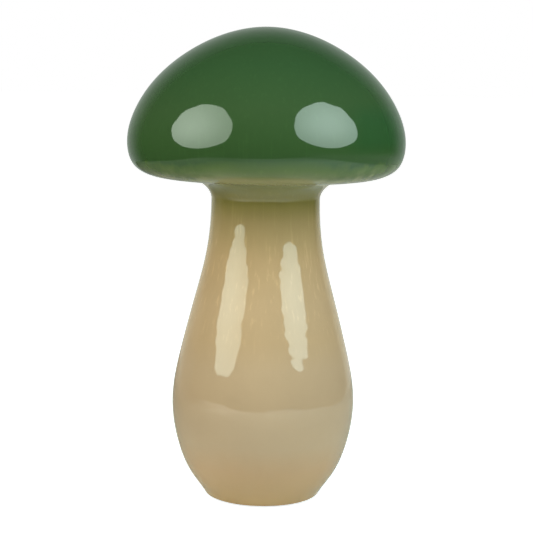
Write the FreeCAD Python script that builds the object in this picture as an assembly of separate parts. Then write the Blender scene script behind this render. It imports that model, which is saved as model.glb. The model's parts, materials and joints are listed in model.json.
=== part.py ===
import FreeCAD, Part

import math
import os

os.makedirs("parts", exist_ok=True)

# A mushroom ornament of glazed earthenware: a hollow cap luted onto a hollow stem.
# Millimetres, +Z up. The origin is on the axis, in the plane that the felt pads stand on.
# Both castings are turned shapes. Each outline is one smooth curve through a few stations,
# given as radius and height, so that the glaze shows no corner anywhere along it.

# Whole object
overall_height = 250.0
wall = 5.0

# Stem casting: foot, bulb and neck
foot_radius = 30.6
foot_flare_share = 0.60
bulb_radius = 48.75
bulb_height = 53.2
neck_radius = 28.8
neck_height = 160.2
foot_to_bulb_height_shares = (0.22, 0.52)
foot_to_bulb_radius_shares = (0.439, 0.810)
bulb_to_neck_height_shares = (0.25, 0.50, 0.75)
bulb_to_neck_radius_shares = (0.222, 0.567, 0.893)

# Stem casting: underside
foot_edge_radius = 0.8
land_width = 8.0
land_edge_radius = 0.6
recess_depth = 2.0
recess_corner_radius = 1.2
base_thickness = 6.0
floor_corner_radius = 5.0
vent_radius = 3.0

# Stem casting: the spigot that enters the cap
key_depth = 0.6
shoulder_width = 1.5
spigot_stand = 1.5

# Cap casting
cap_radius = 73.2
fillet_radius = 46.9
fillet_rise = 10.7
rim_rise = 17.8
neck_to_fillet_height_share = 0.66
neck_to_fillet_radius_share = 0.221
fillet_to_rim_height_shares = (0.110, 0.362)
fillet_to_rim_radius_shares = (0.576, 0.855)
rim_to_crown_height_shares = (0.28, 0.56, 0.80, 0.945)
rim_to_crown_radius_shares = (0.948, 0.792, 0.546, 0.284)

# Film of joining slip between the two castings
film = 0.4

# Silicone plug in the kiln vent
plug_flange_radius = 5.5
plug_flange_thickness = 1.2
plug_barb_overhang = 0.8
plug_barb_height = 2.6
plug_tip_radius = 2.2

# Felt pads under the foot
pad_count = 4
pad_radius = 2.5
pad_thickness = 1.0

# The inside of each wall is worked out at this many points along its outline.
inset_points = 25
# Two edges are taken as the same circle when they agree this well.
edge_match = 0.001

# Heights and radii that follow from the sizes above
foot_height = pad_thickness
fillet_height = neck_height + fillet_rise
cap_widest_height = fillet_height + rim_rise
land_inner_radius = foot_radius - foot_edge_radius - land_width
recess_height = foot_height + recess_depth
floor_height = recess_height + base_thickness
seat_height = fillet_height + key_depth
shoulder_height = seat_height - film
keyed_radius = neck_radius - key_depth
spigot_radius = keyed_radius - shoulder_width
bore_radius = spigot_radius + film
neck_bore_radius = neck_radius - wall
collar_height = seat_height + wall
spigot_height = collar_height + spigot_stand

AXIS = FreeCAD.Vector(0, 0, 1)
ORIGIN = FreeCAD.Vector(0, 0, 0)
UPWARD = FreeCAD.Vector(0, 0, 1)
INWARD = FreeCAD.Vector(-1, 0, 0)


def at(radius, height):
    """A point of an outline, which lies in the plane y = 0."""
    return FreeCAD.Vector(radius, 0, height)


def part_way(start, end, share):
    """The value that lies this share of the way from start to end."""
    return start + (end - start) * share


def stations(start, end, radius_shares, height_shares):
    """Points whose radius and height lie the given shares of the way from start to end."""
    return [
        at(part_way(start.x, end.x, radius_share), part_way(start.z, end.z, height_share))
        for radius_share, height_share in zip(radius_shares, height_shares)
    ]


def smooth_curve(points, start_direction, end_direction):
    """A cubic spline through the points, leaving and arriving in the given unit directions.

    Its parameter is the distance along the chords between the points.
    """
    curve = Part.BSplineCurve()
    curve.interpolate(
        Points=points, InitialTangent=start_direction, FinalTangent=end_direction, Scale=False
    )
    return curve


def inside_of(curve, first, last):
    """The curve one wall thickness inside another, between two of its parameters."""
    points = []
    directions = []
    for step in range(inset_points):
        here = part_way(first, last, step / (inset_points - 1))
        direction = curve.tangent(here)[0]
        square_on = FreeCAD.Vector(-direction.z, 0, direction.x)
        points.append(curve.value(here) + square_on * wall)
        directions.append(direction)
    return smooth_curve(points, directions[0], directions[-1])


def straight_edges(points):
    """Straight edges from point to point."""
    return [Part.makeLine(start, end) for start, end in zip(points, points[1:])]


def turned(edges):
    """The solid that a closed outline sweeps round the axis."""
    outline = Part.Wire(Part.sortEdges(edges)[0])
    return Part.Face(outline).revolve(ORIGIN, AXIS, 360)


def disc(radius, low, high, centre=ORIGIN):
    """An upright cylinder between two heights."""
    return Part.makeCylinder(radius, high - low, centre + UPWARD * low)


def rounded(solid, radius, height, size):
    """The solid with its edge at this radius and height rounded."""
    edges = [
        edge
        for edge in solid.Edges
        if isinstance(edge.Curve, Part.Circle)
        and abs(edge.Curve.Radius - radius) < edge_match
        and abs(edge.Curve.Center.z - height) < edge_match
    ]
    return solid.makeFillet(size, edges).Solids[0]


# Outlines that the pieces share
foot_point = at(foot_radius, foot_height)
bulb_point = at(bulb_radius, bulb_height)
neck_point = at(neck_radius, neck_height)
fillet_point = at(fillet_radius, fillet_height)
widest_point = at(cap_radius, cap_widest_height)
crown_point = at(0, overall_height)

stem_curve = smooth_curve(
    [foot_point]
    + stations(foot_point, bulb_point, foot_to_bulb_radius_shares, foot_to_bulb_height_shares)
    + [bulb_point]
    + stations(bulb_point, neck_point, bulb_to_neck_radius_shares, bulb_to_neck_height_shares)
    + [neck_point],
    at(foot_flare_share, 1).normalize(),
    UPWARD,
)

cap_axis_point = at(0, cap_widest_height)
crown_side_point = at(cap_radius, overall_height)
cap_curve = smooth_curve(
    [neck_point]
    + stations(
        neck_point, fillet_point, [neck_to_fillet_radius_share], [neck_to_fillet_height_share]
    )
    + [fillet_point]
    + stations(
        fillet_point, widest_point, fillet_to_rim_radius_shares, fillet_to_rim_height_shares
    )
    + [widest_point]
    + stations(
        cap_axis_point, crown_side_point, rim_to_crown_radius_shares, rim_to_crown_height_shares
    )
    + [crown_point],
    UPWARD,
    INWARD,
)
cap_start = cap_curve.FirstParameter
cap_end = cap_curve.LastParameter
fillet_parameter = cap_curve.parameter(fillet_point)


def make_cap_shell():
    """The cap: an even wall, open below at the hole that its slip was poured through."""
    inner = inside_of(cap_curve, fillet_parameter, cap_end)
    below = straight_edges(
        [
            inner.value(inner.FirstParameter),
            at(bore_radius, collar_height),
            at(bore_radius, seat_height),
            at(fillet_radius, seat_height),
            fillet_point,
        ]
    )
    along_axis = straight_edges([crown_point, inner.value(inner.LastParameter)])
    outer_edge = cap_curve.toShape(fillet_parameter, cap_end)
    return turned([outer_edge, inner.toShape()] + below + along_axis)


def make_stem_shell():
    """The stem: foot ring, bulb, neck and spigot, hollow above a thick base with a vent."""
    inner = inside_of(stem_curve, stem_curve.FirstParameter, stem_curve.LastParameter)
    inner_low = inner.value(inner.FirstParameter)
    neck_steps = [
        neck_point,
        at(keyed_radius, neck_height),
        at(keyed_radius, shoulder_height),
        at(spigot_radius, shoulder_height),
        at(spigot_radius, spigot_height),
        at(0, spigot_height),
        at(0, foot_height),
        foot_point,
    ]
    outside = turned([stem_curve.toShape()] + straight_edges(neck_steps))
    outside = rounded(outside, foot_radius, foot_height, foot_edge_radius)

    cavity_steps = [
        inner.value(inner.LastParameter),
        at(neck_bore_radius, spigot_height),
        at(0, spigot_height),
        at(0, inner_low.z),
        inner_low,
    ]
    cavity = turned([inner.toShape()] + straight_edges(cavity_steps))
    cavity = cavity.cut(disc(bulb_radius, 0, floor_height))
    floor_edges = [
        edge for edge in cavity.Edges if abs(edge.BoundBox.ZMax - floor_height) < edge_match
    ]
    cavity = cavity.makeFillet(floor_corner_radius, floor_edges)

    recess = disc(land_inner_radius, 0, recess_height)
    recess = rounded(recess, land_inner_radius, recess_height, recess_corner_radius)
    vent = disc(vent_radius, 0, floor_height + wall)
    stem = outside.cut([cavity, recess, vent])
    return rounded(stem, land_inner_radius, foot_height, land_edge_radius)


def make_luting_ring():
    """The slip that joins the castings, smoothed outside into a hollow fillet under the cap."""
    steps = [
        fillet_point,
        at(fillet_radius, seat_height),
        at(bore_radius, seat_height),
        at(bore_radius, collar_height),
        at(spigot_radius, collar_height),
        at(spigot_radius, shoulder_height),
        at(keyed_radius, shoulder_height),
        at(keyed_radius, neck_height),
        neck_point,
    ]
    return turned([cap_curve.toShape(cap_start, fillet_parameter)] + straight_edges(steps))


def make_vent_plug():
    """A soft plug: a flange in the recess, a shank that fills the vent and a barb above it."""
    barb_radius = vent_radius + plug_barb_overhang
    tip_height = floor_height + plug_barb_height
    flange_underside = recess_height - plug_flange_thickness
    steps = [
        at(0, flange_underside),
        at(plug_flange_radius, flange_underside),
        at(plug_flange_radius, recess_height),
        at(vent_radius, recess_height),
        at(vent_radius, floor_height),
        at(barb_radius, floor_height),
        at(plug_tip_radius, tip_height),
        at(0, tip_height),
        at(0, flange_underside),
    ]
    return turned(straight_edges(steps))


def make_felt_pad(index):
    """One punched felt disc, stuck on the inner side of the foot's flat land."""
    circle_radius = land_inner_radius + land_edge_radius + pad_radius
    turn = math.tau * (index + 0.5) / pad_count
    centre = FreeCAD.Vector(math.cos(turn), math.sin(turn), 0) * circle_radius
    return disc(pad_radius, 0, pad_thickness, centre)


pieces = {
    "cap_shell": make_cap_shell(),
    "stem_shell": make_stem_shell(),
    "luting_ring": make_luting_ring(),
    "vent_plug": make_vent_plug(),
}
for index in range(pad_count):
    pieces[f"felt_pad_{index + 1}"] = make_felt_pad(index)

for name, shape in pieces.items():
    shape.exportStep(f"parts/{name}.step")
    box = shape.BoundBox
    print(
        f"{name}: {shape.ShapeType}, {len(shape.Solids)} solid, valid {shape.isValid()}, "
        f"{shape.Volume / 1000:.2f} cm3, z {box.ZMin:.2f} to {box.ZMax:.2f}, width {box.XLength:.2f}"
    )
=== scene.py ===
"""Looks of a glazed ceramic mushroom ornament, built round its packed CAD model.

Everything is in metres, +Z up, with the origin on the axis in the plane that the pads stand on.
Each piece is a turned shape: an outline of radius and height, carried round the axis. The cap,
the stem and the ring of slip between them share one smooth outline and one glaze, whose colour
follows the height at which the glaze was sprayed: green over the cap, beige down the stem.
"""

import json
import math

import bpy
import numpy as np
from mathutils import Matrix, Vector

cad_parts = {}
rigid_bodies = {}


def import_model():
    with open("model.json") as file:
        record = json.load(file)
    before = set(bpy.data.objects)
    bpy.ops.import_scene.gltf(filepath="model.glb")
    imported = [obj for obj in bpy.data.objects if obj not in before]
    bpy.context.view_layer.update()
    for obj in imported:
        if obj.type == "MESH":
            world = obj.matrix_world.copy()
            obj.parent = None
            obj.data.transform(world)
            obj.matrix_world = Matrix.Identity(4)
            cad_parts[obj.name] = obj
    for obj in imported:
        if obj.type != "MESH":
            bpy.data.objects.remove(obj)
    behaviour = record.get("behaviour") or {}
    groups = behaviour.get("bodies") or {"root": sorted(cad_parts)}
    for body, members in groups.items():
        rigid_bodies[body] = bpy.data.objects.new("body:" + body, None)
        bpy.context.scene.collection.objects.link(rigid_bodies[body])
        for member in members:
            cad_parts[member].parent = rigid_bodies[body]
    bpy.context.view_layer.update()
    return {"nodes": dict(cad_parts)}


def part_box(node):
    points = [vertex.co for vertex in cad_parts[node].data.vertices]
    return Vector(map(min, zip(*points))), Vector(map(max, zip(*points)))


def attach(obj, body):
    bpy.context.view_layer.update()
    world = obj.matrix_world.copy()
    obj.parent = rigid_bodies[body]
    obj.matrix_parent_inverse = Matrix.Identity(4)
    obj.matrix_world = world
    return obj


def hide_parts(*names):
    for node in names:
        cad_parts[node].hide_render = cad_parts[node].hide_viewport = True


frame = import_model()

bl_info = {
    "name": "Mushroom ornament",
    "version": (1, 0, 0),
    "blender": (4, 5, 0),
    "location": "View3D > Sidebar > Ornament",
    "description": "Builds the glazed cap, stem, joint, plug and pads, and the studio round them",
    "category": "Object",
}

MM = 0.001

# Places that the CAD model gives
CAP_LOW, CAP_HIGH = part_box("cap_shell")
STEM_LOW, STEM_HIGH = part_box("stem_shell")
RING_LOW, RING_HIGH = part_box("luting_ring")
PLUG_LOW, PLUG_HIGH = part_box("vent_plug")
OVERALL_HEIGHT = CAP_HIGH.z
FOOT_HEIGHT = STEM_LOW.z
SPIGOT_HEIGHT = STEM_HIGH.z
NECK_HEIGHT = RING_LOW.z
FILLET_HEIGHT = CAP_LOW.z
FILLET_RADIUS = RING_HIGH.x
COLLAR_HEIGHT = RING_HIGH.z

# Shares of the way between two sizes, for the stations of the outline
FOOT_TO_BULB_HEIGHT_SHARES = (0.22, 0.52)
FOOT_TO_BULB_RADIUS_SHARES = (0.439, 0.810)
BULB_TO_NECK_HEIGHT_SHARES = (0.25, 0.50, 0.75)
BULB_TO_NECK_RADIUS_SHARES = (0.222, 0.567, 0.893)
NECK_TO_FILLET_HEIGHT_SHARES = (0.66,)
NECK_TO_FILLET_RADIUS_SHARES = (0.221,)
FILLET_TO_RIM_HEIGHT_SHARES = (0.110, 0.362)
FILLET_TO_RIM_RADIUS_SHARES = (0.576, 0.855)
RIM_TO_CROWN_HEIGHT_SHARES = (0.28, 0.56, 0.80, 0.945)
RIM_TO_CROWN_RADIUS_SHARES = (0.948, 0.792, 0.546, 0.284)
FOOT_FLARE_SHARE = 0.60
FOOT_EDGE_FLARE_SHARE = 0.70

# Soft edges of the plug and the pads, the dish under the plug, and how a pad's rim strays
PLUG_EDGE = 0.4 * MM
PLUG_DISH = 0.35 * MM
PLUG_DISH_SHARES = (0.35, 0.5)
PAD_EDGE = 0.22 * MM
PAD_STRAY_SHARE = 0.012
PAD_WAVES = (7, 17)

# Grid sizes
ROUND_STEPS = 256
OUTER_STEPS = 150
INNER_STEPS = 60
CORNER_STEPS = 6
RIM_STEPS = 128
CARD_STEPS = 48
LONGEST_EDGE = 4 * MM
LONGEST_PAD_EDGE = 0.5 * MM
NEAREST_TO_AXIS = 0.2 * MM
SHARP_ANGLE = math.radians(32)

# Heights in millimetres at which the sprayed glaze has each of its colours
GLAZE_HEIGHTS = (
    (4.0, "crust"),
    (22.0, "toast"),
    (36.0, "cream"),
    (47.0, "oat"),
    (57.0, "oat"),
    (76.0, "cream"),
    (90.0, "beige"),
    (108.0, "beige"),
    (130.0, "honey"),
    (150.0, "straw"),
    (160.5, "ochre"),
    (163.5, "ochre"),
    (169.0, "sage"),
    (174.5, "sage"),
    (177.0, "olive"),
    (180.3, "moss"),
    (184.5, "rim"),
    (192.0, "rim"),
    (209.0, "dome"),
    (230.0, "crown"),
)

# Waves that each noise has in a metre, and how the streaks are drawn out along the height
DRIFT_WAVES = 26
CLOUD_WAVES = 55
RIPPLE_WAVES = 100
BLOTCH_WAVES = 170
STREAK_WAVES = 560
STREAK_STRETCH = (1, 1, 0.018)
SPECK_WAVES = 1500
FIBRE_WAVES = 5200
CLUMP_WAVES = 900
MILK_WAVES = 400
FRAY_WAVES = 14

# How far the glaze's colours stray up and down, and how much clouds, streaks, runs and specks
# lighten or darken them
DRIFT_RISE = 3 * MM
BLOTCH_RISE = 8 * MM
LEFT_RISE = 2.7 * MM
RIGHT_RISE = 1.7 * MM
CLOUD_SHARE = 0.08
STREAK_SHARE = 0.08
RUN_SHARE = 0.13
SPECK_SHARE = 0.03

# What the cap has of the streaks and the ripple, and how much grain shows at bare clay
CAP_STREAK_SHARE = 0.5
CAP_RIPPLE_SHARE = 0.4
EDGE_GRAIN_SHARE = 0.3
CLAY_GRAIN_SHARE = 0.05

# Roughness of the two surfaces, depth of each relief, and the second shades of felt and plug
CLAY_ROUGHNESS = 0.55
GLAZE_ROUGHNESS = 0.04
RIPPLE_DEPTH = 0.27 * MM
FELT_DEPTH = 0.12 * MM
SKIN_DEPTH = 0.03 * MM
FELT_LIGHT_SHARE = 1.8
MILK_DARK_SHARE = 0.82

# Bands over which the glaze changes: none of it at the first value, all of it at the second
STREAKS_BAND = (70 * MM, 120 * MM)
CAP_BAND = (150 * MM, 172 * MM)
SIDE_BAND = (18 * MM, 44 * MM)
# The cap's right side takes a painted cool tint between these bands, standing in for the right
# softbox's bluer light
PAINTED_TINT_SIDE_BAND = (34 * MM, 50 * MM)
PAINTED_TINT_LOW_BAND = (184 * MM, 194 * MM)
PAINTED_TINT_HIGH_BAND = (203 * MM, 216 * MM)
RUNS_BAND = (0.58, 0.72)
COVER_BAND = (0.4, 0.6)

# Painted cool tint of the right softbox's light on the cap's right side, and tints of the studio
WHITE = (1, 1, 1, 1)
RIGHT_LAMP_PAINTED_TINT = (0.70, 0.94, 0.92, 1)
WALL_TINT = (0.93, 1.05, 0.95, 1)
CARD_TINT = (1, 0.93, 0.76, 1)
RUNNER_TINT = (1, 0.98, 0.86, 1)
PAPER = (0.8, 0.8, 0.8, 1)
# The cloth's left is painted greyer as shade, where less light falls on it
CLOTH_PAINTED_SHADE = (0.40, 0.39, 0.38, 1)
CLOTH_RIGHT = (0.80, 0.79, 0.77, 1)

# Corners of the table and of the runner on its front, seen from above: across and away from
# the camera, in metres, and how far each face lies above the floor
TABLE_CORNERS = ((-0.46, -0.47), (0.45, -0.60), (0.40, 0.60), (-0.40, 0.60))
RUNNER_CORNERS = ((-0.66, -0.72), (0.45, -0.72), (0.45, 0.15), (-0.66, 0.15))
TABLE_LIFT = 0.01 * MM
RUNNER_LIFT = 0.02 * MM
SKIRT_LIFT = 0.03 * MM

# Bands of the cloth, the runner and the floor, in metres, and how brightly each glows
# Where the cloth's painted shade on the left gives way to its lit white
CLOTH_PAINTED_SHADE_BAND = (-0.26, 0.02)
CORNER_AWAY_BAND = (0.25, 0.50)
CORNER_ACROSS_BAND = (0.0, 0.30)
CORNER_GLOW = 0.25
FLAP_BAND = (-0.52, -0.30)
FLAP_DEPTH = 0.14
FRONT_BAND = (-0.004, 0.004)
FADE_BAND = (0.0, 0.58)
RUNNER_BAND = (-0.38, 0.02)
RUNNER_LEFT_GLOW = 2.2
RUNNER_RIGHT_GLOW = 0.85
FLOOR_BAND = (0.0, 0.5)
FLOOR_NEAR_GLOW = 0.8
FLOOR_FAR_GLOW = 1.0

# The low card: how far in its skirt starts, and where its ends and its top begin to fade
CARD_SKIRT_SHARE = 0.75
CARD_LEFT_SHARE = 0.95
CARD_RIGHT_SHARE = 0.88
CARD_TOP_SHARE = 0.7

# The room, as parts of a direction: the wall behind, what is low down, what is on the right
WALL_BAND = (0.50, 0.98)
BELOW_BAND = (-0.25, -0.10)
BESIDE_BAND = (0.45, 0.75)

# Softboxes: brightness at the hot spot and away from it, and, as shares of the radius, how far
# that fall reaches and how far out and up from the middle each lamp shines through
HOT_GLOW = 1.14
COOL_GLOW = 0.70
FALL_SHARE = 1.3
LAMP_SHARES = {"left": (0.2, 0.1), "right": (0.0, 0.25), "rear": (0.0, 0.0)}

# The camera sees nothing nearer than this.
NEAREST_SEEN = 10 * MM


def length(name, description, value):
    """A size in metres for the sidebar."""
    return bpy.props.FloatProperty(
        name=name, description=description, default=value, unit="LENGTH"
    )


def colour(name, description, value):
    """A linear colour for the sidebar."""
    return bpy.props.FloatVectorProperty(
        name=name, description=description, default=value, subtype="COLOR", size=3, min=0, max=1
    )


def angle(name, description, degrees):
    """An angle for the sidebar."""
    return bpy.props.FloatProperty(
        name=name, description=description, default=math.radians(degrees), subtype="ANGLE"
    )


def glow(name, description, value):
    """A brightness for the sidebar."""
    return bpy.props.FloatProperty(name=name, description=description, default=value)


def radiance(name, description, value):
    """The red, green and blue brightness of a lamp for the sidebar."""
    return bpy.props.FloatVectorProperty(
        name=name, description=description, default=value, size=3
    )


class OrnamentSizes(bpy.types.PropertyGroup):
    """Sizes of the castings, the plug and the pads."""

    foot_radius: length("Foot radius", "Where the wall meets the foot's flat land", 30.6 * MM)
    bulb_radius: length("Bulb radius", "Widest part of the stem", 48.75 * MM)
    bulb_height: length("Bulb height", "Height of the stem's widest part", 53.2 * MM)
    neck_radius: length("Neck radius", "Narrowest part of the stem", 28.8 * MM)
    cap_radius: length("Cap radius", "Widest part of the cap", 73.2 * MM)
    widest_height: length("Widest height", "Height of the cap's widest part", 188.7 * MM)
    wall: length("Wall", "Thickness of both castings", 5 * MM)
    foot_edge: length("Foot edge", "Rounding of the foot's outer edge", 0.8 * MM)
    land_width: length("Land width", "Flat ring under the foot", 8 * MM)
    land_edge: length("Land edge", "Rounding of the land's inner edge", 0.6 * MM)
    recess_depth: length("Recess depth", "Depth of the hollow under the foot", 2 * MM)
    recess_corner: length("Recess corner", "Rounding inside the hollow", 1.2 * MM)
    base: length("Base", "Thickness of the base over the hollow", 6 * MM)
    floor_corner: length("Floor corner", "Rounding at the bottom of the cavity", 5 * MM)
    vent_radius: length("Vent radius", "Kiln vent through the base", 3 * MM)
    key_depth: length("Key depth", "How deep the joint's slip is let into both castings", 0.6 * MM)
    shoulder: length("Shoulder", "Step from the keyed neck to the spigot", 1.5 * MM)
    film: length("Film", "Slip between spigot and cap", 0.4 * MM)
    flange_radius: length("Flange radius", "Plug's flange", 5.5 * MM)
    barb_overhang: length("Barb overhang", "How far the barb is wider than the vent", 0.8 * MM)
    tip_radius: length("Tip radius", "Plug's tip", 2.2 * MM)
    pad_radius: length("Pad radius", "Felt pads under the foot", 2.5 * MM)


class GlazeColours(bpy.types.PropertyGroup):
    """Linear colours of the finishes."""

    crown: colour("Crown", "Green at the top of the cap", (0.031, 0.070, 0.026))
    dome: colour("Dome", "Green half way down the cap", (0.037, 0.072, 0.026))
    rim: colour("Rim", "Green at the cap's widest", (0.032, 0.067, 0.021))
    moss: colour("Moss", "Thinner green under the rim", (0.071, 0.110, 0.025))
    olive: colour("Olive", "Green and beige mixed, on the cap's underside", (0.122, 0.152, 0.048))
    sage: colour("Sage", "Pale mist of green in the hollow under the cap", (0.275, 0.258, 0.125))
    ochre: colour("Ochre", "Darker mist at the top of the neck", (0.250, 0.198, 0.059))
    straw: colour("Straw", "Beige with a trace of green, down the neck", (0.339, 0.232, 0.106))
    honey: colour("Honey", "Beige below the neck", (0.423, 0.270, 0.148))
    beige: colour("Beige", "Beige of the stem", (0.464, 0.299, 0.178))
    cream: colour("Cream", "Paler beige over the bulb", (0.459, 0.303, 0.194))
    oat: colour("Oat", "The same, a little duller, at the bulb's widest", (0.443, 0.292, 0.187))
    toast: colour("Toast", "Browner beige under the bulb", (0.494, 0.299, 0.170))
    crust: colour("Crust", "Brown at the foot's edge", (0.515, 0.313, 0.150))
    clay: colour("Clay", "Bare fired clay under the foot and inside", (0.62, 0.55, 0.45))
    felt: colour("Felt", "Pads", (0.24, 0.18, 0.12))
    silicone: colour("Silicone", "Plug", (0.66, 0.65, 0.60))


class StudioLight(bpy.types.PropertyGroup):
    """Lights, table and backdrop."""

    box_radius: length("Box radius", "Radius of each round softbox", 0.254)
    box_distance: length("Box distance", "From the aim point to each softbox", 0.545)
    aim_height: length("Aim height", "Height on the axis that both softboxes face", 0.160)
    left_swing: angle("Left swing", "How far the left softbox stands round from the front", -54.7)
    left_rise: angle("Left rise", "Height of the left softbox over the aim point", 24.0)
    left_light: radiance("Left light", "Radiance of the left softbox", (5.5, 6.3, 5.4))
    right_swing: angle("Right swing", "How far the right softbox stands round to the right", 50.9)
    right_rise: angle("Right rise", "Height of the right softbox over the aim point", 27.6)
    right_light: radiance("Right light", "Radiance of the right softbox", (5.5, 6.9, 6.5))
    rear_swing: angle("Rear swing", "How far the rear softbox stands round from the front", -152)
    rear_rise: angle("Rear rise", "Height of the rear softbox over the aim point", 28)
    rear_light: radiance("Rear light", "Radiance of the rear softbox", (1.0, 0.93, 0.82))
    floor_radius: length("Floor radius", "How far the floor goes on behind", 12.0)
    wall_light: glow("Wall light", "Brightness of the wall behind, in reflections", 0.44)
    card_light: glow("Card light", "Brightness of the low card behind, in reflections", 0.29)
    card_distance: length("Card distance", "From the axis to the low card behind", 0.57)
    card_height: length("Card height", "Height of the low card behind", 0.20)
    card_left: angle("Card left", "How far the low card reaches round to the left", 84)
    card_right: angle("Card right", "How far the low card reaches round to the right", 56)
    runner_light: glow("Runner light", "Brightness of the runner on the table's front", 0.8)
    runner_fray: length("Runner fray", "How far the runner's front edge strays", 0.10)
    low_light: glow("Low light", "Brightness beyond the table's right edge", 0.25)


class OrnamentCamera(bpy.types.PropertyGroup):
    """Where the picture is taken from."""

    distance: length("Distance", "From the axis to the lens", 760 * MM)
    height: length("Height", "Height of the lens", 228.09 * MM)
    aside: length("Aside", "How far the lens is to the right of the axis", 0.95 * MM)
    tilt: angle("Tilt", "Downward tilt", 7.82)
    roll: angle("Roll", "Turn about the line of sight", 0.806)
    lens: bpy.props.FloatProperty(
        name="Lens", description="Focal length in mm", default=97.10, subtype="DISTANCE_CAMERA"
    )


# Outlines


def part_way(start, end, share):
    """The point or value that lies this share of the way from start to end."""
    return start + (end - start) * share


def stations(start, end, radius_shares, height_shares):
    """Points whose radius and height lie the given shares of the way from start to end."""
    shares = np.column_stack([radius_shares, height_shares])
    return part_way(np.array(start), np.array(end), shares)


class SmoothCurve:
    """A cubic spline through points, with given unit directions at its ends.

    The parameter is the distance along the chords. The slopes at the inner points are those that
    make the second derivative continuous: one linear equation each, solved together. Between two
    points the curve is the cubic that has their places and slopes.
    """

    def __init__(self, points, start_direction, end_direction):
        self.points = np.asarray(points, float)
        steps = np.hypot(*np.diff(self.points, axis=0).T)
        self.knots = np.concatenate([[0], np.cumsum(steps)])
        count = len(self.points)
        left = np.eye(count)
        right = np.zeros((count, 2))
        right[0] = np.array(start_direction) / np.hypot(*start_direction)
        right[-1] = np.array(end_direction) / np.hypot(*end_direction)
        inner = np.arange(1, count - 1)
        before, after = 1 / steps[:-1], 1 / steps[1:]
        left[inner, inner - 1] = before
        left[inner, inner] = 2 * (before + after)
        left[inner, inner + 1] = after
        chords = np.diff(self.points, axis=0) / steps[:, None] ** 2
        right[1:-1] = 3 * (chords[:-1] + chords[1:])
        self.slopes = np.linalg.solve(left, right)

    def at(self, where):
        """Places and unit directions at these parameters."""
        where = np.asarray(where, float)
        span = np.clip(np.searchsorted(self.knots, where, "right") - 1, 0, len(self.knots) - 2)
        step = (self.knots[span + 1] - self.knots[span])[:, None]
        share = (where - self.knots[span])[:, None] / step
        first, last = self.points[span], self.points[span + 1]
        leave, arrive = self.slopes[span] * step, self.slopes[span + 1] * step
        place = (
            first * (1 + 2 * share) * (1 - share) ** 2
            + leave * share * (1 - share) ** 2
            + last * share**2 * (3 - 2 * share)
            - arrive * share**2 * (1 - share)
        )
        run = (
            6 * share * (1 - share) * (last - first)
            + leave * (1 - share) * (1 - 3 * share)
            + arrive * share * (3 * share - 2)
        )
        return place, run / np.hypot(*run.T)[:, None]


def eased(start, end, count):
    """Parameters from start to end, closer together near both ends, as a cosine spaces them."""
    turn = np.linspace(0, math.pi, count)
    return part_way(start, end, (1 - np.cos(turn)) / 2)


def inset(places, directions, distance):
    """The points moved square to the outline, to its left, by this distance."""
    return places + np.column_stack([-directions[:, 1], directions[:, 0]]) * distance


def rounded_corner(before, corner, after, size):
    """The arc of this radius that touches both sides of a corner, as a few points."""
    before, corner, after = (np.asarray(point, float) for point in (before, corner, after))
    arrive = (corner - before) / np.hypot(*(corner - before))
    leave = (after - corner) / np.hypot(*(after - corner))
    turn = math.acos(np.clip(arrive @ leave, -1, 1))
    side = np.sign(arrive[0] * leave[1] - arrive[1] * leave[0])
    start = corner - arrive * size * math.tan(turn / 2)
    centre = start + np.array([-arrive[1], arrive[0]]) * side * size
    swing = np.linspace(0, turn * side, CORNER_STEPS)[:, None]
    spoke = start - centre
    square = np.array([-spoke[1], spoke[0]])
    return centre + spoke * np.cos(swing) + square * np.sin(swing)


def subdivided(points, longest):
    """The same straight outline with no edge longer than this."""
    pieces = []
    for start, end in zip(points[:-1], points[1:]):
        count = max(1, math.ceil(np.hypot(*(end - start)) / longest))
        pieces.append(part_way(start, end, np.arange(count)[:, None] / count))
    return np.vstack([*pieces, points[-1:]])


def stem_curve(sizes):
    """The stem's outer outline, from the foot's edge to the neck."""
    foot = (sizes.foot_radius, FOOT_HEIGHT)
    bulb = (sizes.bulb_radius, sizes.bulb_height)
    neck = (sizes.neck_radius, NECK_HEIGHT)
    low = stations(foot, bulb, FOOT_TO_BULB_RADIUS_SHARES, FOOT_TO_BULB_HEIGHT_SHARES)
    high = stations(bulb, neck, BULB_TO_NECK_RADIUS_SHARES, BULB_TO_NECK_HEIGHT_SHARES)
    return SmoothCurve([foot, *low, bulb, *high, neck], (FOOT_FLARE_SHARE, 1), (0, 1))


def cap_curve(sizes):
    """The outline from the neck through the fillet and the rim to the crown."""
    neck = (sizes.neck_radius, NECK_HEIGHT)
    fillet = (FILLET_RADIUS, FILLET_HEIGHT)
    widest = (sizes.cap_radius, sizes.widest_height)
    crown = (0, OVERALL_HEIGHT)
    hollow = stations(neck, fillet, NECK_TO_FILLET_RADIUS_SHARES, NECK_TO_FILLET_HEIGHT_SHARES)
    rim = stations(fillet, widest, FILLET_TO_RIM_RADIUS_SHARES, FILLET_TO_RIM_HEIGHT_SHARES)
    dome = stations(
        (0, sizes.widest_height),
        (sizes.cap_radius, OVERALL_HEIGHT),
        RIM_TO_CROWN_RADIUS_SHARES,
        RIM_TO_CROWN_HEIGHT_SHARES,
    )
    return SmoothCurve([neck, *hollow, fillet, *rim, widest, *dome, crown], (0, 1), (-1, 0))


def fillet_parameter(curve):
    """Where on the cap's curve the ring of slip ends."""
    return curve.knots[1 + len(NECK_TO_FILLET_HEIGHT_SHARES)]


def joint_radii(sizes):
    """Radii of the keyed neck, of the spigot above it and of the bore round the spigot."""
    keyed = sizes.neck_radius - sizes.key_depth
    spigot = keyed - sizes.shoulder
    return keyed, spigot, spigot + sizes.film


def joint_heights(sizes):
    """Heights of the cap's seat and of the stem's shoulder under it."""
    seat = FILLET_HEIGHT + sizes.key_depth
    return seat, seat - sizes.film


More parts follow.
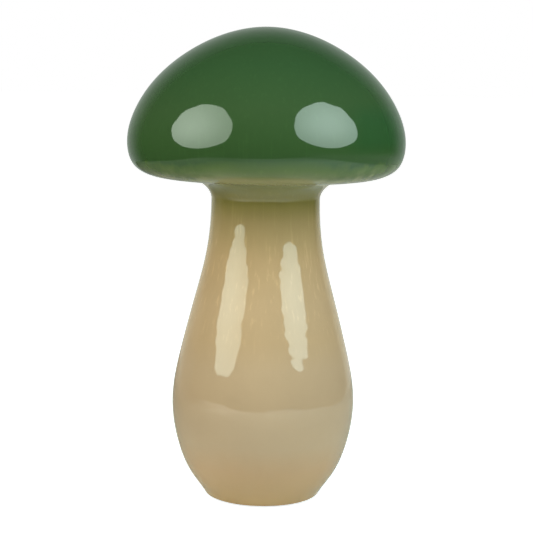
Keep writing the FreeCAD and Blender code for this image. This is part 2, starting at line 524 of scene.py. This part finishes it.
def base_heights(sizes):
    """Heights of the recess under the base and of the floor above it."""
    recess = FOOT_HEIGHT + sizes.recess_depth
    return recess, recess + sizes.base


# Meshes


def new_mesh(name, points, faces):
    """A mesh from lists of points and faces."""
    mesh = bpy.data.meshes.new(name)
    mesh.from_pydata(points, [], faces)
    return mesh


def turned_mesh(name, outline, glazed=None, closed=False):
    """A mesh whose points are (radius cos angle, radius sin angle, height) on a grid.

    One grid direction runs along the outline, with the solid on its left, and the other runs
    once round the axis. A closed outline makes a ring. An open one starts and ends on the axis,
    where each row is one shared point. Glazed holds the glaze's cover, 0 to 1, at each row.
    """
    outline = np.asarray(outline, float)
    angle = np.arange(ROUND_STEPS) * math.tau / ROUND_STEPS
    ring = outline if closed else outline[1:-1]
    radius = ring[:, :1]
    height = np.repeat(ring[:, 1:], ROUND_STEPS, axis=1)
    points = np.stack([radius * np.cos(angle), radius * np.sin(angle), height], axis=-1)
    points = points.reshape(-1, 3)
    number = np.arange(len(points)).reshape(len(ring), ROUND_STEPS)
    beside = np.roll(number, -1, axis=1)
    above, above_beside = np.roll(number, -1, axis=0), np.roll(beside, -1, axis=0)
    quads = np.stack([number, beside, above_beside, above], axis=-1)
    faces = (quads if closed else quads[:-1]).reshape(-1, 4).tolist()
    if not closed:
        start, end = len(points), len(points) + 1
        first = np.stack([np.full(ROUND_STEPS, start), beside[0], number[0]], axis=-1)
        last = np.stack([number[-1], beside[-1], np.full(ROUND_STEPS, end)], axis=-1)
        faces += first.tolist() + last.tolist()
        points = np.vstack([points, (0, 0, outline[0, 1]), (0, 0, outline[-1, 1])])
    mesh = new_mesh(name, points.tolist(), faces)
    if glazed is not None:
        rows = np.asarray(glazed, float)
        cover = np.repeat(rows if closed else rows[1:-1], ROUND_STEPS)
        if not closed:
            cover = np.concatenate([cover, rows[[0, -1]]])
        mesh.attributes.new("glazed", "FLOAT", "POINT").data.foreach_set("value", cover)
    mesh.shade_smooth()
    mesh.set_sharp_from_angle(angle=SHARP_ANGLE)
    return mesh


def placed(name, mesh, material):
    """A new object at the origin that shows this mesh in this finish."""
    mesh.materials.append(material)
    made = bpy.data.objects.new(name, mesh)
    bpy.context.scene.collection.objects.link(made)
    return made


def dressed(name, mesh, material, node):
    """A piece that stands for a CAD node, rides on the one body and takes its finish."""
    made = placed(name, mesh, material)
    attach(made, "root")
    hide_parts(node)
    return made


# Shader expressions


def both_ways(operation):
    """An operator's two methods: with the socket first, and reflected, with the socket second."""

    def socket_first(self, other):
        return self.math(operation, self, other)

    def socket_second(self, other):
        return self.math(operation, other, self)

    return socket_first, socket_second


class Value:
    """A shader socket that joins in Python sums: each operator adds its Math node."""

    def __init__(self, shader, socket):
        self.shader = shader
        self.socket = socket

    def math(self, operation, first, second):
        """A Math node on two values."""
        return self.shader.node("ShaderNodeMath", {"operation": operation}, {0: first, 1: second})

    __add__, __radd__ = both_ways("ADD")
    __sub__, __rsub__ = both_ways("SUBTRACT")
    __mul__, __rmul__ = both_ways("MULTIPLY")
    __truediv__, __rtruediv__ = both_ways("DIVIDE")


class Shader:
    """The nodes of one material, or of the world."""

    def __init__(self, owner):
        owner.use_nodes = True
        self.owner = owner
        self.tree = owner.node_tree
        self.tree.nodes.clear()

    def node(self, kind, settings, inputs, output=0):
        """Adds a node, makes its settings first, then fills its sockets, and returns one output.

        A setting named stops is a colour ramp's list of places and colours. A socket takes a
        number, a colour, or another node's output as a link.
        """
        made = self.tree.nodes.new(kind)
        for name, value in settings.items():
            if name == "stops":
                elements = made.color_ramp.elements
                elements.remove(elements[-1])
                for place, _ in value[1:]:
                    elements.new(place)
                for element, (place, shade) in zip(elements, value):
                    element.position = place
                    element.color = shade
            else:
                setattr(made, name, value)
        for name, value in inputs.items():
            if isinstance(value, Value):
                self.tree.links.new(value.socket, made.inputs[name])
            else:
                made.inputs[name].default_value = value
        return Value(self, made.outputs[output]) if made.outputs else None

    def mixed(self, share, first, second, how="MIX"):
        """Two colours mixed by a share."""
        return self.node(
            "ShaderNodeMix",
            {"data_type": "RGBA", "blend_type": how},
            {"Factor": share, 6: first, 7: second},
            output=2,
        )

    def grey(self, value):
        """A colour whose three parts are the same."""
        return self.node("ShaderNodeCombineColor", {}, {0: value, 1: value, 2: value})

    def times(self, first, second):
        """Two colours multiplied part by part."""
        return self.mixed(1.0, first, second, how="MULTIPLY")

    def between(self, value, low, high):
        """0 below low, 1 above high, and a smooth step between them."""
        return self.node(
            "ShaderNodeMapRange",
            {"interpolation_type": "SMOOTHSTEP"},
            {"Value": value, "From Min": low, "From Max": high},
        )

    def noise(self, where, per_metre, detail=2.0, stretch=(1, 1, 1)):
        """A noise between 0 and 1 on the piece's own coordinates, stretched along an axis."""
        scaled = self.node("ShaderNodeMapping", {}, {"Vector": where, "Scale": stretch})
        return self.node(
            "ShaderNodeTexNoise", {}, {"Vector": scaled, "Scale": per_metre, "Detail": detail}
        )

    def own_place(self):
        """The piece's own coordinates."""
        return self.node("ShaderNodeTexCoord", {}, {}, output="Object")

    def part(self, where, axis):
        """One part of a place or a direction: X across, Y away from the camera or Z up."""
        return self.node("ShaderNodeSeparateXYZ", {}, {"Vector": where}, output=axis)

    def distance(self, where, point):
        """How far a place is from a point."""
        return self.node(
            "ShaderNodeVectorMath", {"operation": "DISTANCE"}, {0: where, 1: point}, output="Value"
        )

    def bump(self, height, distance, strength=1.0):
        """A normal that leans as a height between 0 and 1 does, over this distance."""
        return self.node(
            "ShaderNodeBump", {}, {"Strength": strength, "Distance": distance, "Height": height}
        )

    def shown(self, surface):
        """The material, with this surface as its output."""
        self.node("ShaderNodeOutputMaterial", {}, {"Surface": surface})
        return self.owner

    def lamp(self, tint, share, strength=1.0):
        """A glowing surface whose brightness a share dims or lifts from place to place."""
        shade = self.times(tint, self.grey(share))
        return self.node("ShaderNodeEmission", {}, {"Color": shade, "Strength": strength})

    def veil(self, tint, share):
        """The material as a glow that is added to whatever lies behind it."""
        clear = self.node("ShaderNodeBsdfTransparent", {}, {})
        glowing = self.lamp(tint, share)
        return self.shown(self.node("ShaderNodeAddShader", {}, {0: glowing, 1: clear}))

    def principled(self, inputs):
        """The material with a Principled surface."""
        return self.shown(self.node("ShaderNodeBsdfPrincipled", {}, inputs))


def new_shader(name):
    """The nodes of a new material."""
    return Shader(bpy.data.materials.new(name))


def opaque(rgb):
    """A colour with its alpha."""
    return (*rgb, 1)


def glaze_stops(colours):
    """Heights, as shares of the whole, and the glaze's colour at each."""
    return [
        (height * MM / OVERALL_HEIGHT, opaque(getattr(colours, name)))
        for height, name in GLAZE_HEIGHTS
    ]


def glaze_material(colours):
    """Glossy sprayed glaze, and bare clay where it was wiped off.

    The colour follows the height. At both sides the colours lie a little lower and are blotched,
    and on the cap's right side a painted cool tint stands in for the right softbox's bluer light.
    Clouds, specks and, above the bulb, thin runs lighten and darken the whole.
    """
    shader = new_shader("sprayed_glaze")
    where = shader.own_place()
    drift = shader.noise(where, DRIFT_WAVES, detail=3)
    cloud = shader.noise(where, CLOUD_WAVES, detail=3)
    blotch = shader.noise(where, BLOTCH_WAVES)
    streak = shader.noise(where, STREAK_WAVES, stretch=STREAK_STRETCH)
    speck = shader.noise(where, SPECK_WAVES, detail=1)

    across, height = shader.part(where, "X"), shader.part(where, "Z")
    on_left = shader.between(0 - across, *SIDE_BAND)
    on_right = shader.between(across, *SIDE_BAND)
    on_cap = shader.between(height, *CAP_BAND)
    sprayed = height + (drift - 0.5) * DRIFT_RISE + on_left * LEFT_RISE + on_right * RIGHT_RISE
    sprayed = sprayed + (blotch - 0.5) * (on_left + on_right) * BLOTCH_RISE
    hue = shader.node(
        "ShaderNodeValToRGB", {"stops": glaze_stops(colours)}, {"Fac": sprayed / OVERALL_HEIGHT}
    )

    runs = shader.between(streak, *RUNS_BAND)
    streaks = (streak - 0.5) * STREAK_SHARE + runs * RUN_SHARE
    streaks = streaks * shader.between(height, *STREAKS_BAND)
    streaks = streaks * part_way(1, CAP_STREAK_SHARE, on_cap)
    shade = 1 + (cloud - 0.5) * CLOUD_SHARE + streaks + (speck - 0.5) * SPECK_SHARE
    # Painted light: the cap's right side is tinted cooler, standing in for the right softbox's
    # bluer light
    painted_cool_light = shader.between(across, *PAINTED_TINT_SIDE_BAND) * shader.between(height, *PAINTED_TINT_LOW_BAND)
    painted_cool_light = painted_cool_light * (1 - shader.between(height, *PAINTED_TINT_HIGH_BAND))
    tint = shader.mixed(painted_cool_light, WHITE, RIGHT_LAMP_PAINTED_TINT)
    glazed_colour = shader.times(shader.times(hue, shader.grey(shade)), tint)

    cover = shader.node("ShaderNodeAttribute", {"attribute_name": "glazed"}, {}, output="Fac")
    glazed = shader.between(cover + (speck - 0.5) * EDGE_GRAIN_SHARE, *COVER_BAND)
    ripple = shader.noise(where, RIPPLE_WAVES, detail=1) * part_way(1, CAP_RIPPLE_SHARE, on_cap)
    relief = part_way(speck * CLAY_GRAIN_SHARE, ripple, glazed)
    return shader.principled(
        {
            "Base Color": shader.mixed(glazed, opaque(colours.clay), glazed_colour),
            "Roughness": part_way(CLAY_ROUGHNESS, GLAZE_ROUGHNESS, glazed),
            "IOR": 1.5,
            "Normal": shader.bump(relief, RIPPLE_DEPTH),
        }
    )


def felt_material(colours):
    """Pressed felt: short crossing fibres, lighter and darker, with a soft sheen."""
    shader = new_shader("pressed_felt")
    where = shader.own_place()
    fibre = shader.noise(where, FIBRE_WAVES, detail=4)
    clump = shader.noise(where, CLUMP_WAVES)
    light = Vector(colours.felt) * FELT_LIGHT_SHARE
    return shader.principled(
        {
            "Base Color": shader.mixed(fibre, opaque(colours.felt), opaque(light)),
            "Roughness": 0.95,
            "Sheen Weight": 0.4,
            "Normal": shader.bump(fibre + clump, FELT_DEPTH, strength=0.8),
        }
    )


def silicone_material(colours):
    """Milky silicone, faintly cloudy, with a satin skin."""
    shader = new_shader("milky_silicone")
    cloud = shader.noise(shader.own_place(), MILK_WAVES, detail=3)
    dull = Vector(colours.silicone) * MILK_DARK_SHARE
    return shader.principled(
        {
            "Base Color": shader.mixed(cloud, opaque(dull), opaque(colours.silicone)),
            "Roughness": 0.38,
            "Subsurface Weight": 0.15,
            "Normal": shader.bump(cloud, SKIN_DEPTH, strength=0.3),
        }
    )


# Pieces


def cap_outline(sizes):
    """From the cavity's top down to the collar and the seat, and up the outside to the crown."""
    curve = cap_curve(sizes)
    where = eased(fillet_parameter(curve), curve.knots[-1], OUTER_STEPS)
    outer, directions = curve.at(where)
    inner = inset(outer, directions, sizes.wall)[:: OUTER_STEPS // INNER_STEPS]
    inner[0, 0] = max(inner[0, 0], sizes.neck_radius)
    _, _, bore = joint_radii(sizes)
    seat, _ = joint_heights(sizes)
    steps = [(bore, COLLAR_HEIGHT), (bore, seat), (FILLET_RADIUS, seat)]
    inner_top = (0, OVERALL_HEIGHT - sizes.wall)
    inside = np.vstack([inner_top, inner[inner[:, 0] > NEAREST_TO_AXIS][::-1], steps])
    outer[-1] = (0, OVERALL_HEIGHT)
    outline = np.vstack([subdivided(inside, LONGEST_EDGE), outer])
    cover = np.concatenate([np.zeros(len(outline) - len(outer)), np.ones(len(outer))])
    return outline, cover


def stem_outline(sizes):
    """Round the stem's wall: foot edge, outside, spigot, inside, floor, vent, recess and land."""
    curve = stem_curve(sizes)
    foot = np.array([sizes.foot_radius, FOOT_HEIGHT])
    land_inner = sizes.foot_radius - sizes.foot_edge - sizes.land_width
    recess, floor = base_heights(sizes)
    keyed, spigot, _ = joint_radii(sizes)
    _, shoulder = joint_heights(sizes)
    neck_bore = sizes.neck_radius - sizes.wall

    inward, upward = foot - (1, 0), foot + (FOOT_EDGE_FLARE_SHARE, 1)
    foot_edge = rounded_corner(inward, foot, upward, sizes.foot_edge)
    begin = np.hypot(*(foot_edge[-1] - foot))
    outer, directions = curve.at(eased(begin, curve.knots[-1], OUTER_STEPS))
    neck_steps = [
        (keyed, NECK_HEIGHT),
        (keyed, shoulder),
        (spigot, shoulder),
        (spigot, SPIGOT_HEIGHT),
        (neck_bore, SPIGOT_HEIGHT),
    ]
    inner = inset(outer, directions, sizes.wall)[:: OUTER_STEPS // INNER_STEPS][::-1]
    inner = inner[inner[:, 1] > floor + sizes.floor_corner]
    corner = (inner[-1, 0] - sizes.floor_corner, floor)
    floor_edge = rounded_corner(inner[-1], corner, (sizes.vent_radius, floor), sizes.floor_corner)
    base_steps = [(sizes.vent_radius, floor), (sizes.vent_radius, recess)]
    recess_corner = rounded_corner(
        (0, recess), (land_inner, recess), (land_inner, FOOT_HEIGHT), sizes.recess_corner
    )
    land_edge = rounded_corner(
        (land_inner, recess), (land_inner, FOOT_HEIGHT), foot, sizes.land_edge
    )
    hidden = [neck_steps, inner, floor_edge, base_steps, recess_corner, land_edge]
    hidden = subdivided(np.vstack(hidden), LONGEST_EDGE)
    outline = np.vstack([foot_edge, outer[1:], hidden])
    edge_cover = np.linspace(0, 1, len(foot_edge))
    cover = np.concatenate([edge_cover, np.ones(len(outer) - 1), np.zeros(len(hidden))])
    return outline, cover


def ring_outline(sizes):
    """Round the joining slip: its hollow outside, the seat, and the film beside the spigot."""
    curve = cap_curve(sizes)
    outer, _ = curve.at(eased(0, fillet_parameter(curve), OUTER_STEPS // 2))
    keyed, spigot, bore = joint_radii(sizes)
    seat, shoulder = joint_heights(sizes)
    steps = [
        (FILLET_RADIUS, seat),
        (bore, seat),
        (bore, COLLAR_HEIGHT),
        (spigot, COLLAR_HEIGHT),
        (spigot, shoulder),
        (keyed, shoulder),
        (keyed, NECK_HEIGHT),
    ]
    hidden = subdivided(np.array(steps), LONGEST_EDGE)
    outline = np.vstack([outer, hidden])
    return outline, np.concatenate([np.ones(len(outer)), np.zeros(len(hidden))])


def plug_outline(sizes):
    """Up the plug: a dished flange, a shank that fills the vent, and a barb with a blunt tip."""
    low, high = PLUG_LOW.z, PLUG_HIGH.z
    recess, floor = base_heights(sizes)
    flange, vent = sizes.flange_radius, sizes.vent_radius
    barb = vent + sizes.barb_overhang
    dish, rim = (share * flange for share in PLUG_DISH_SHARES)
    underside = [(0, low + PLUG_DISH), (dish, low + PLUG_DISH), (rim, low)]
    flange_low = rounded_corner(underside[-1], (flange, low), (flange, recess), PLUG_EDGE)
    flange_high = rounded_corner((flange, low), (flange, recess), (vent, recess), PLUG_EDGE)
    shank = [(vent, recess), (vent, floor), (barb - PLUG_EDGE, floor)]
    tip = (sizes.tip_radius, high)
    barb_edge = rounded_corner((vent, floor), (barb, floor), tip, PLUG_EDGE / 2)
    tip = rounded_corner((barb, floor), tip, (0, high), PLUG_EDGE)
    return np.vstack([underside, flange_low, flange_high, shank, barb_edge, tip, [(0, high)]])


def pad_mesh(sizes, low, high, number):
    """A punched felt disc with soft edges, whose rim strays inwards as two sines of the angle."""
    radius = sizes.pad_radius
    thick = high.z - low.z
    lower = rounded_corner((0, 0), (radius, 0), (radius, thick), PAD_EDGE)
    upper = rounded_corner((radius, 0), (radius, thick), (0, thick), PAD_EDGE)
    outline = np.vstack([(0, 0), lower, upper, (0, thick)])
    mesh = turned_mesh(f"pad_{number}", subdivided(outline, LONGEST_PAD_EDGE))
    points = np.empty(len(mesh.vertices) * 3)
    mesh.vertices.foreach_get("co", points)
    points = points.reshape(-1, 3)
    angle = np.arctan2(points[:, 1], points[:, 0])
    slow, quick = PAD_WAVES
    dents = (1 + np.sin(slow * angle + number)) * (1 + np.sin(quick * angle - 2 * number)) / 2
    points[:, :2] *= (1 - PAD_STRAY_SHARE * dents)[:, None]
    points += ((low.x + high.x) / 2, (low.y + high.y) / 2, low.z)
    mesh.vertices.foreach_set("co", points.ravel())
    return mesh


def build_glazed(scene, name, outline_of, node, closed=False):
    """A turned piece in the one glaze that the castings and the joint share, made once."""
    outline, cover = outline_of(scene.ornament_sizes)
    glaze = bpy.data.materials.get("sprayed_glaze") or glaze_material(scene.ornament_colours)
    dressed(name, turned_mesh(name, outline, cover, closed), glaze, node)


class ORNAMENT_OT_cap(bpy.types.Operator):
    """Builds the hollow glazed cap"""

    bl_idname = "ornament.cap"
    bl_label = "Cap"

    def execute(self, context):
        build_glazed(context.scene, "cap", cap_outline, "cap_shell")
        return {"FINISHED"}


class ORNAMENT_OT_stem(bpy.types.Operator):
    """Builds the hollow glazed stem with its foot"""

    bl_idname = "ornament.stem"
    bl_label = "Stem"

    def execute(self, context):
        build_glazed(context.scene, "stem", stem_outline, "stem_shell", closed=True)
        return {"FINISHED"}


class ORNAMENT_OT_joint(bpy.types.Operator):
    """Builds the ring of slip that joins cap and stem"""

    bl_idname = "ornament.joint"
    bl_label = "Luting ring"

    def execute(self, context):
        build_glazed(
            context.scene, "luting", ring_outline, "luting_ring", closed=True
        )
        return {"FINISHED"}


class ORNAMENT_OT_plug(bpy.types.Operator):
    """Builds the soft plug in the kiln vent"""

    bl_idname = "ornament.plug"
    bl_label = "Vent plug"

    def execute(self, context):
        scene = context.scene
        mesh = turned_mesh("plug", plug_outline(scene.ornament_sizes))
        material = silicone_material(scene.ornament_colours)
        dressed("plug", mesh, material, "vent_plug")
        return {"FINISHED"}


class ORNAMENT_OT_pads(bpy.types.Operator):
    """Builds the felt pads under the foot"""

    bl_idname = "ornament.pads"
    bl_label = "Felt pads"

    def execute(self, context):
        scene = context.scene
        material = felt_material(scene.ornament_colours)
        names = sorted(name for name in frame["nodes"] if name.startswith("felt_pad_"))
        for number, name in enumerate(names, 1):
            low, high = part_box(name)
            mesh = pad_mesh(scene.ornament_sizes, low, high, number)
            dressed(f"pad_{number}", mesh, material, name)
        return {"FINISHED"}


# Stage


def flat_face(name, rim, middle, material):
    """A flat face: its middle point joined to every pair of neighbours on its rim."""
    count = len(rim)
    fan = [(0, 1 + step, 1 + (step + 1) % count) for step in range(count)]
    points = [tuple(point) for point in (middle, *rim)]
    return placed(name, new_mesh(name, points, fan), material)


def round_rim(centre, facing, radius):
    """Points (centre + radius (cos angle across + sin angle up)) round a facing direction."""
    turn = Vector(facing).to_track_quat("Z", "Y")
    steps = [math.tau * step / RIM_STEPS for step in range(RIM_STEPS)]
    return [centre + turn @ Vector((math.cos(at), math.sin(at), 0)) * radius for at in steps]


def softbox_material(name, light, hot_spot, radius):
    """A softbox's cloth: brightest where the lamp shines through, dimmer away from it."""
    shader = new_shader(name)
    away = shader.distance(shader.own_place(), hot_spot)
    share = part_way(HOT_GLOW, COOL_GLOW, shader.between(away, 0.0, radius * FALL_SHARE))
    strength = max(light)
    return shader.shown(shader.lamp(opaque(Vector(light) / strength), share, strength))


def matt_material(shader, shade, own_glow):
    """A matt surface with a grey glow of its own."""
    return shader.principled(
        {
            "Base Color": shade,
            "Roughness": 1.0,
            "Specular IOR Level": 0.0,
            "Emission Color": shader.grey(own_glow),
            "Emission Strength": 1.0,
        }
    )


def paper_material(name):
    """White paper: the floor that the camera sees, with a glow that makes up for far light."""
    shader = new_shader(name)
    away = shader.distance(shader.own_place(), (0, 0, 0))
    share = shader.between(away, *FLOOR_BAND)
    return matt_material(shader, PAPER, part_way(FLOOR_NEAR_GLOW, FLOOR_FAR_GLOW, share))


def cloth_material(name):
    """The table's white cloth: painted shade greys its left, and it is lit from behind at its far
    right corner.
    """
    shader = new_shader(name)
    where = shader.own_place()
    across, away = shader.part(where, "X"), shader.part(where, "Y")
    # Painted shade: the cloth is greyer on its left, where less light falls
    shade = shader.mixed(shader.between(across, *CLOTH_PAINTED_SHADE_BAND), CLOTH_PAINTED_SHADE, CLOTH_RIGHT)
    corner = shader.between(away, *CORNER_AWAY_BAND) * shader.between(across, *CORNER_ACROSS_BAND)
    return matt_material(shader, shade, corner * CORNER_GLOW)


def card_material(name, left_end, right_end, height, light):
    """The low card's glow, which fades at both ends and towards its top."""
    shader = new_shader(name)
    where = shader.own_place()
    across, up = shader.part(where, "X"), shader.part(where, "Z")
    from_left = shader.between(across, left_end, left_end * CARD_LEFT_SHARE)
    from_right = 1 - shader.between(across, right_end * CARD_RIGHT_SHARE, right_end)
    low = 1 - shader.between(up, height * CARD_TOP_SHARE, height)
    return shader.veil(CARD_TINT, from_left * from_right * low * light)


def runner_material(name, fray, light):
    """The runner's glow: frayed at the table's front edge, and fainter behind and on the right."""
    (left, near), (right, far) = TABLE_CORNERS[:2]
    shader = new_shader(name)
    where = shader.own_place()
    across, away = shader.part(where, "X"), shader.part(where, "Y")
    from_edge = away - near - (across - left) * ((far - near) / (right - left))
    flap = (1 - shader.between(across, *FLAP_BAND)) * FLAP_DEPTH
    ragged = from_edge + flap + (shader.noise(where, FRAY_WAVES, detail=4) - 0.5) * (2 * fray)
    front = shader.between(ragged, *FRONT_BAND)
    fade = 1 - shader.between(from_edge, *FADE_BAND)
    side = part_way(RUNNER_LEFT_GLOW, RUNNER_RIGHT_GLOW, shader.between(across, *RUNNER_BAND))
    return shader.veil(RUNNER_TINT, front * fade * side * light)


class ORNAMENT_OT_stage(bpy.types.Operator):
    """Sets up the pale floor, the table, the softboxes, the backdrop and the camera"""

    bl_idname = "ornament.stage"
    bl_label = "Studio"

    def execute(self, context):
        scene = context.scene
        studio = scene.ornament_studio
        self.make_floor(studio)
        for side in LAMP_SHARES:
            self.make_softbox(studio, side)
        self.make_card(studio)
        self.make_runner(studio)
        self.make_surroundings(scene, studio)
        self.make_camera(scene)
        scene.view_settings.view_transform = "Standard"
        return {"FINISHED"}

    def make_floor(self, studio):
        """A floor for the camera, and the smaller table that lights and mirrors in the glaze."""
        middle = Vector((0, 0, 0))
        floor_rim = round_rim(middle, (0, 0, 1), studio.floor_radius)
        floor = flat_face("floor", floor_rim, middle, paper_material("pale_paper"))
        floor.visible_glossy = floor.visible_diffuse = floor.visible_shadow = False
        table_rim = [(*corner, TABLE_LIFT) for corner in TABLE_CORNERS]
        table = flat_face("table", table_rim, middle, cloth_material("table_cloth"))
        table.visible_camera = table.visible_shadow = False

    def make_softbox(self, studio, side):
        """A round softbox that faces the ornament; the rear one lights it without a reflection."""
        swing = getattr(studio, f"{side}_swing")
        rise = getattr(studio, f"{side}_rise")
        light = getattr(studio, f"{side}_light")
        lamp_out, lamp_up = LAMP_SHARES[side]
        level = math.cos(rise)
        toward = Vector((math.sin(swing) * level, -math.cos(swing) * level, math.sin(rise)))
        centre = Vector((0, 0, studio.aim_height)) + toward * studio.box_distance
        outward = Vector((math.cos(swing), math.sin(swing), 0)) * math.copysign(lamp_out, swing)
        hot_spot = centre + (outward + Vector((0, 0, lamp_up))) * studio.box_radius
        rim = round_rim(centre, -toward, studio.box_radius)
        cloth = softbox_material(f"{side}_cloth", light, hot_spot, studio.box_radius)
        softbox = flat_face(f"{side}_softbox", rim, centre, cloth)
        softbox.visible_camera = softbox.visible_shadow = False
        softbox.visible_glossy = side != "rear"

    def make_card(self, studio):
        """A low bent card with a skirt behind the table, which pales the edges of the stem."""
        height = studio.card_height
        shares = [step / CARD_STEPS for step in range(CARD_STEPS + 1)]
        turns = [part_way(-studio.card_left, studio.card_right, share) for share in shares]
        feet = [Vector((math.sin(at), math.cos(at), 0)) * studio.card_distance for at in turns]
        skirt = [foot * CARD_SKIRT_SHARE + Vector((0, 0, SKIRT_LIFT)) for foot in feet]
        tops = [foot + Vector((0, 0, height)) for foot in feet]
        count = len(feet)
        starts = [step + row * count for row in (0, 1) for step in range(CARD_STEPS)]
        quads = [(start, start + 1, count + start + 1, count + start) for start in starts]
        mesh = new_mesh("back_card", [tuple(place) for place in skirt + feet + tops], quads)
        finish = card_material("pale_card", feet[0].x, feet[-1].x, height, studio.card_light)
        self.light_stem_only(placed("back_card", mesh, finish))

    def make_runner(self, studio):
        """A brighter runner along the table's front edge, ragged where it ends."""
        rim = [Vector((*corner, RUNNER_LIFT)) for corner in RUNNER_CORNERS]
        middle = sum(rim, Vector()) / len(rim)
        finish = runner_material("bright_runner", studio.runner_fray, studio.runner_light)
        runner = flat_face("runner", rim, middle, finish)
        runner.visible_diffuse = False
        self.light_stem_only(runner)

    def light_stem_only(self, lamp):
        """Lets a glowing face light the stem and the ring of slip, and nothing else."""
        lamp.visible_camera = lamp.visible_shadow = False
        lit = bpy.data.collections.new(f"lit_by_{lamp.name}")
        for name in ("stem", "luting"):
            lit.objects.link(bpy.data.objects[name])
        lamp.light_linking.receiver_collection = lit

    def make_surroundings(self, scene, studio):
        """White for the camera; for the light, a dark room with a pale wall behind."""
        scene.world = bpy.data.worlds.new("studio_room")
        shader = Shader(scene.world)
        toward = shader.node("ShaderNodeTexCoord", {}, {}, output="Generated")
        across, away, up = (shader.part(toward, axis) for axis in "XYZ")
        wall = shader.between(away, *WALL_BAND) * studio.wall_light
        below = 1 - shader.between(up, *BELOW_BAND)
        low = shader.between(across, *BESIDE_BAND) * below * studio.low_light
        camera = shader.node("ShaderNodeLightPath", {}, {}, output="Is Camera Ray")
        share = (wall + low) * (1 - camera) + camera
        shade = shader.times(shader.mixed(camera, WALL_TINT, WHITE), shader.grey(share))
        room = shader.node("ShaderNodeBackground", {}, {"Color": shade, "Strength": 1.0})
        shader.node("ShaderNodeOutputWorld", {}, {"Surface": room})

    def make_camera(self, scene):
        """The lens in front of the ornament, tilted down and rolled a little."""
        view = scene.ornament_camera
        lens = bpy.data.cameras.new("camera")
        lens.lens = view.lens
        lens.clip_start = NEAREST_SEEN
        camera = bpy.data.objects.new("camera", lens)
        scene.collection.objects.link(camera)
        camera.location = (view.aside, -view.distance, view.height)
        camera.rotation_euler = (math.pi / 2 - view.tilt, 0, 0)
        camera.rotation_euler.rotate_axis("Z", view.roll)
        scene.camera = camera


class ORNAMENT_PT_panel(bpy.types.Panel):
    """Lists the pieces, the studio and their sizes"""

    bl_idname = "ORNAMENT_PT_panel"
    bl_label = "Mushroom ornament"
    bl_space_type = "VIEW_3D"
    bl_region_type = "UI"
    bl_category = "Ornament"

    def draw(self, context):
        layout = self.layout
        for operator in OPERATORS:
            layout.operator(operator.bl_idname)
        for owner, group in GROUPS.items():
            layout.label(text=group.__doc__)
            settings = getattr(context.scene, owner)
            for name in group.__annotations__:
                layout.prop(settings, name)


OPERATORS = (
    ORNAMENT_OT_cap,
    ORNAMENT_OT_stem,
    ORNAMENT_OT_joint,
    ORNAMENT_OT_plug,
    ORNAMENT_OT_pads,
    ORNAMENT_OT_stage,
)
GROUPS = {
    "ornament_sizes": OrnamentSizes,
    "ornament_colours": GlazeColours,
    "ornament_studio": StudioLight,
    "ornament_camera": OrnamentCamera,
}


def register():
    """Registers the classes, and gives every scene its settings."""
    for group in GROUPS.values():
        bpy.utils.register_class(group)
    for owner, group in GROUPS.items():
        setattr(bpy.types.Scene, owner, bpy.props.PointerProperty(type=group))
    for operator in OPERATORS:
        bpy.utils.register_class(operator)
    bpy.utils.register_class(ORNAMENT_PT_panel)


def unregister():
    """Takes the settings and the classes away again."""
    bpy.utils.unregister_class(ORNAMENT_PT_panel)
    for operator in reversed(OPERATORS):
        bpy.utils.unregister_class(operator)
    for owner in GROUPS:
        delattr(bpy.types.Scene, owner)
    for group in reversed(GROUPS.values()):
        bpy.utils.unregister_class(group)


def main():
    """Builds the ornament and its studio."""
    register()
    bpy.ops.ornament.cap()
    bpy.ops.ornament.stem()
    bpy.ops.ornament.joint()
    bpy.ops.ornament.plug()
    bpy.ops.ornament.pads()
    bpy.ops.ornament.stage()


if __name__ == "__main__":
    main()
